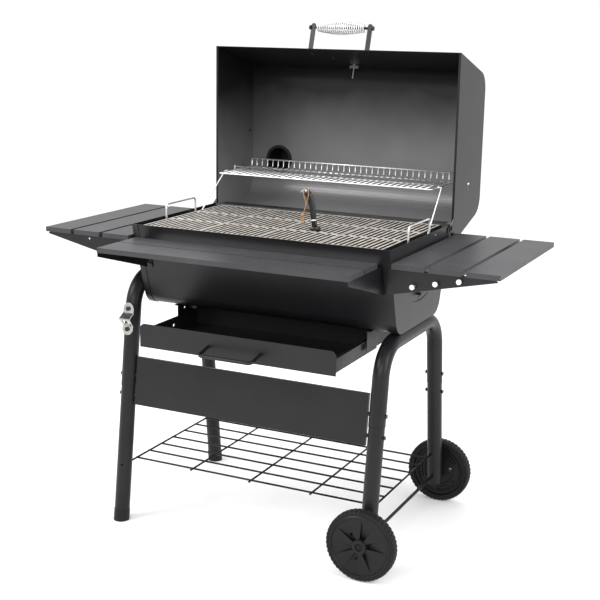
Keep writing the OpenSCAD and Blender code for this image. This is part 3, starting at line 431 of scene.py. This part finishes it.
# ------------------------------------------------------------------ lifter
def strap(verts, faces, points, half_widths, half_thick, sides=16):
    """A flat bar with round edges that follows points in an upright plane along X."""
    pts = [Vector(p) for p in points]
    deep = Vector((0, 1, 0))
    first = len(verts)
    for i, p in enumerate(pts):
        along = (pts[min(i + 1, len(pts) - 1)] - pts[max(i - 1, 0)]).normalized()
        wide = along.cross(deep).normalized()
        for k in range(sides):
            a = 2 * math.pi * k / sides
            c, s = math.cos(a), math.sin(a)
            u = math.copysign(abs(c) ** 0.6, c) * half_widths[i]
            v = math.copysign(abs(s) ** 0.6, s) * half_thick
            verts.append(p + u * wide + v * deep)
    for i in range(len(pts) - 1):
        for k in range(sides):
            a, b = first + i * sides, first + (i + 1) * sides
            m = (k + 1) % sides
            faces.append((a + k, a + m, b + m, b + k))
    faces.append(tuple(first + k for k in reversed(range(sides))))
    faces.append(tuple(first + (len(pts) - 1) * sides + k for k in range(sides)))


def blend_widths(count, first, last):
    """That many widths, evenly from the first to the last."""
    return [first + (last - first) * i / (count - 1) for i in range(count)]


def add_lifter():
    """The grate lifter: a black tapered grip on a foot, with a bright hooked head."""
    low, high = (Vector(c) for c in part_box("lifter_tool"))
    y = (low.y + high.y) / 2
    foot_x = 0.099
    verts, faces = [], []
    line = [(foot_x, y, low.z + 0.004), (0.094, y, low.z + 0.031), (0.088, y, low.z + 0.073),
            (0.079, y, low.z + 0.101), (0.070, y, low.z + 0.112)]
    curve = smooth_corner(line, 0.02)
    strap(verts, faces, curve, blend_widths(len(curve), 0.0078, 0.0098), 0.0050)
    strap(verts, faces, [(0.085, y, low.z + 0.006), (0.088, y, low.z + 0.006), (0.110, y, low.z + 0.006),
                         (0.113, y, low.z + 0.006)], [0.004, 0.006, 0.006, 0.004], 0.0085)
    piece("lifter_grip", verts, faces, tool_paint, "stand", ["lifter_tool"])
    verts, faces = [], []
    line = [(0.072, y, low.z + 0.113), (0.064, y, low.z + 0.1165), (0.052, y, low.z + 0.109)]
    head = smooth_corner(line, 0.01)
    strap(verts, faces, head, blend_widths(len(head), 0.0030, 0.0016), 0.0075)
    strap(verts, faces, [(0.0945, y, low.z + 0.029), (0.0939, y, low.z + 0.0325)], [0.0086, 0.0086], 0.0056)
    piece("lifter_head", verts, faces, bright, "stand", ["lifter_tool"])


# ------------------------------------------------------------------ wires
def joint_place(name):
    """Where a joint's axis is, in metres."""
    for joint in frame["joints"]:
        if joint["name"] == name:
            return joint["pos_m"]
    raise ValueError(name)


def add_bottom_rack():
    """The wire shelf between the legs: lengthwise wires over cross wires."""
    low, high = (Vector(c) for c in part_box("bottom_rack"))
    z = high.z - 0.003
    left = low.x + END_WIRE
    right = high.x - END_WIRE
    front = (low.y + high.y) / 2 - BOTTOM_HALF
    back = (low.y + high.y) / 2 + BOTTOM_HALF
    verts, faces = [], []
    for i in range(BOTTOM_WIRES):
        y = front + i * (back - front) / (BOTTOM_WIRES - 1)
        sweep(verts, faces, [(left, y, z), (right, y, z)], FILL_WIRE)
    for x in (left, right):
        sweep(verts, faces, [(x, low.y + 0.001, z - 0.002), (x, high.y - 0.001, z - 0.002)], END_WIRE)
    for i in range(1, BOTTOM_BARS + 1):
        x = left + i * (right - left) / (BOTTOM_BARS + 1)
        sweep(verts, faces, [(x, front - OVERHANG, z - 0.004), (x, back + OVERHANG, z - 0.004)], FILL_WIRE)
    piece("bottom_rack_wires", verts, faces, rack_paint, "stand", ["bottom_rack"])


def add_leg_seams():
    """A dark ring round each leg where the upper tube ends over the lower one: painted shade for the shadow in the
    gap between the tubes.
    """
    for name in LEGS:
        low, high = (Vector(c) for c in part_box(name))
        out = -1 if (low.y + high.y) / 2 < STAND_Y else 1
        y = STAND_Y + out * (FOOT_Y - SEAM_Z * math.tan(LEG_LEAN))
        x = (low.x + high.x) / 2
        ring = []
        for k in range(SEAM_STEPS):
            a = 2 * math.pi * k / SEAM_STEPS
            ring.append((x + SEAM_R * math.cos(a), y + SEAM_R * math.sin(a), SEAM_Z))
        verts, faces = [], []
        sweep(verts, faces, ring, SEAM_WIRE, sides=6, closed=True)
        mesh = bpy.data.meshes.new(name + "_seam")
        mesh.from_pydata([tuple(v) for v in verts], [], faces)
        # The ring's dark colour is painted shade for the gap between the tubes.
        mesh.materials.append(soot_and_seam_shade)
        obj = bpy.data.objects.new(name + "_seam", mesh)
        scene.collection.objects.link(obj)
        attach(obj, "stand")


def add_warming_rack():
    """The warming rack: a bent frame wire, a deck that turns up into a fence, a rod and two ears."""
    low, high = (Vector(c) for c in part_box("warming_rack"))
    front = low.y + FRAME_WIRE
    back = high.y - FRAME_WIRE
    z = low.z + 2 * FRAME_WIRE
    top = high.z - FRAME_WIRE
    verts, faces = [], []
    frame_line = [
        (-RACK_HALF, back, top), (-RACK_HALF, back, z), (-RACK_HALF, front, z),
        (RACK_HALF, front, z), (RACK_HALF, back, z), (RACK_HALF, back, top),
    ]
    sweep(verts, faces, smooth_corner(frame_line, RACK_TURN), FRAME_WIRE)
    sweep(verts, faces, [(-RACK_HALF, back, top), (RACK_HALF, back, top)], FRAME_WIRE)
    pin_y = back - ROD_INSET
    sweep(verts, faces, [(low.x, pin_y, z), (high.x, pin_y, z)], FRAME_WIRE)
    middle = front + (back - front) * 0.5
    sweep(verts, faces, [(-RACK_HALF, middle, z - 0.002), (RACK_HALF, middle, z - 0.002)], FRAME_WIRE)
    for i in range(1, RACK_FENCE - 1):
        x = -RACK_HALF + i * 2 * RACK_HALF / (RACK_FENCE - 1)
        line = [(x, front, z + 0.002), (x, back - 0.003, z + 0.002), (x, back - 0.001, top)]
        sweep(verts, faces, smooth_corner(line, 0.006, 4), DECK_WIRE, sides=8)
    _, leg_y, leg_z = joint_place("rack_hinge")
    for s in (-1, 1):
        loop = []
        for k in range(16):
            a = 2 * math.pi * k / 16
            loop.append((s * (RACK_HALF + 0.0035),
                         leg_y + EAR_RING * math.cos(a), leg_z + EAR_RING * math.sin(a)))
        sweep(verts, faces, loop, EAR_WIRE, sides=8, closed=True)
    piece("warming_rack_wires", verts, faces, bright, "warming_rack", ["warming_rack"])


def add_grip():
    """The spring grip: one wire wound in a helix that is widest in the middle."""
    low, high = (Vector(c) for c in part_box("handle_spring"))
    centre = (low + high) / 2
    steps = GRIP_TURNS * 20
    reach = (high.x - low.x) / 2 - GRIP_WIRE
    points = []
    for i in range(steps + 1):
        t = i / steps
        r = GRIP_END + (GRIP_MID - GRIP_END) * math.sin(math.pi * t)
        a = 2 * math.pi * GRIP_TURNS * t
        points.append((-reach + 2 * reach * t, centre.y + r * math.cos(a), centre.z + r * math.sin(a)))
    verts, faces = [], []
    sweep(verts, faces, points, GRIP_WIRE, sides=8)
    piece("grip_spring", verts, faces, bright, "lid", ["handle_spring"])


# ------------------------------------------------------------------ tyres
def add_tyre(node, body):
    """A tyre with tread blocks, lathed about the axle."""
    low, high = (Vector(c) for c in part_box(node))
    centre = (low + high) / 2
    outer = (high.z - low.z) / 2
    half = (high.y - low.y) / 2
    bed = outer - TYRE_WALL
    profile = [
        (-half + 0.001, bed), (-half, outer - 0.006), (-half + 0.004, outer - 0.001),
        (-half * 0.45, outer), (-half * 0.1, outer), (half * 0.1, outer), (half * 0.45, outer),
        (half - 0.004, outer - 0.001), (half, outer - 0.006), (half - 0.001, bed),
    ]
    tread = range(2, 8)
    steps = TREAD_BLOCKS * 4
    verts, faces = [], []
    count = len(profile)
    for i in range(steps):
        for k, (y, r) in enumerate(profile):
            phase = (i + (2 if k > 4 else 0)) % 4
            if k in tread and phase == 0:
                r -= TREAD_DEEP
            a = 2 * math.pi * i / steps
            verts.append((centre.x + r * math.cos(a), centre.y + y, centre.z + r * math.sin(a)))
    for i in range(steps):
        j = (i + 1) % steps
        for k in range(count):
            m = (k + 1) % count
            faces.append((i * count + k, i * count + m, j * count + m, j * count + k))
    tyre = piece(node + "_tread", verts, faces, rubber, body, [node])
    for polygon in tyre.data.polygons:
        polygon.use_smooth = False


# ------------------------------------------------------------------ light and floor
def add_light(name, place, aim, size, power):
    light = bpy.data.lights.new(name, "AREA")
    light.shape = "RECTANGLE"
    light.size, light.size_y = size
    light.energy = power
    obj = bpy.data.objects.new(name, light)
    scene.collection.objects.link(obj)
    obj.location = place
    obj.rotation_euler = (Vector(aim) - Vector(place)).to_track_quat("-Z", "Y").to_euler()


def add_studio():
    """A pale floor, even white surroundings and four soft lights."""
    mesh = bpy.data.meshes.new("studio_floor")
    reach = 120
    corners = [(-reach, -reach, 0), (reach, -reach, 0), (reach, reach, 0), (-reach, reach, 0)]
    mesh.from_pydata(corners, [], [(0, 1, 2, 3)])
    floor = bpy.data.objects.new("studio_floor", mesh)
    scene.collection.objects.link(floor)
    pale = surface("studio_floor", (0.93, 0.93, 0.93), 0.7, vary=0.01, patch=0.5, grain=60, relief=0.02)
    glow = pale.node_tree.nodes["Principled BSDF"]
    glow.inputs["Emission Color"].default_value = (1, 1, 1, 1)
    glow.inputs["Emission Strength"].default_value = 0.10
    mesh.materials.append(pale)
    floor.location.z = -0.0005

    world = bpy.data.worlds.new("studio")
    world.use_nodes = True
    background = world.node_tree.nodes["Background"]
    background.inputs["Color"].default_value = (1, 1, 1, 1)
    background.inputs["Strength"].default_value = 1.0
    scene.world = world
    add_light("key", (-2.6, -2.8, 3.4), (0, 0, 0.9), (1.8, 1.8), 110)
    add_light("side", (3.6, -0.8, 2.2), (0.2, 0, 0.8), (1.4, 2.4), 60)
    add_light("top", (0, 0.3, 3.8), (0, 0, 0.9), (2.6, 2.0), 60)
    add_light("lid_fill", (0.6, -3.4, 1.9), (0, 0.3, 1.15), (2.4, 0.9), 35)
    scene.view_settings.view_transform = "Standard"


SHEET_NODES = [
    "front_slat_outer", "front_slat_inner", "left_slat_1", "left_slat_2", "left_slat_3",
    "right_slat_1", "right_slat_2", "right_slat_3",
]

add_camera()
add_lanyard()
add_lifter()
paint_cad_nodes()
soften(SHEET_NODES, 0.0014)
soften(["cooking_grate_%d" % (i + 1) for i in range(4)], 0.0010)
soften(["front_panel", "drawer_front", "left_shelf_frame", "right_shelf_frame"], 0.0004)
soften(["lid_shell", "lid_end_left", "lid_end_right", "firebox_end_left", "firebox_end_right"], 0.0005)
add_bottom_rack()
add_leg_seams()
add_warming_rack()
add_grip()
add_tyre("tyre_front", "wheel_front")
add_tyre("tyre_rear", "wheel_rear")
add_studio()
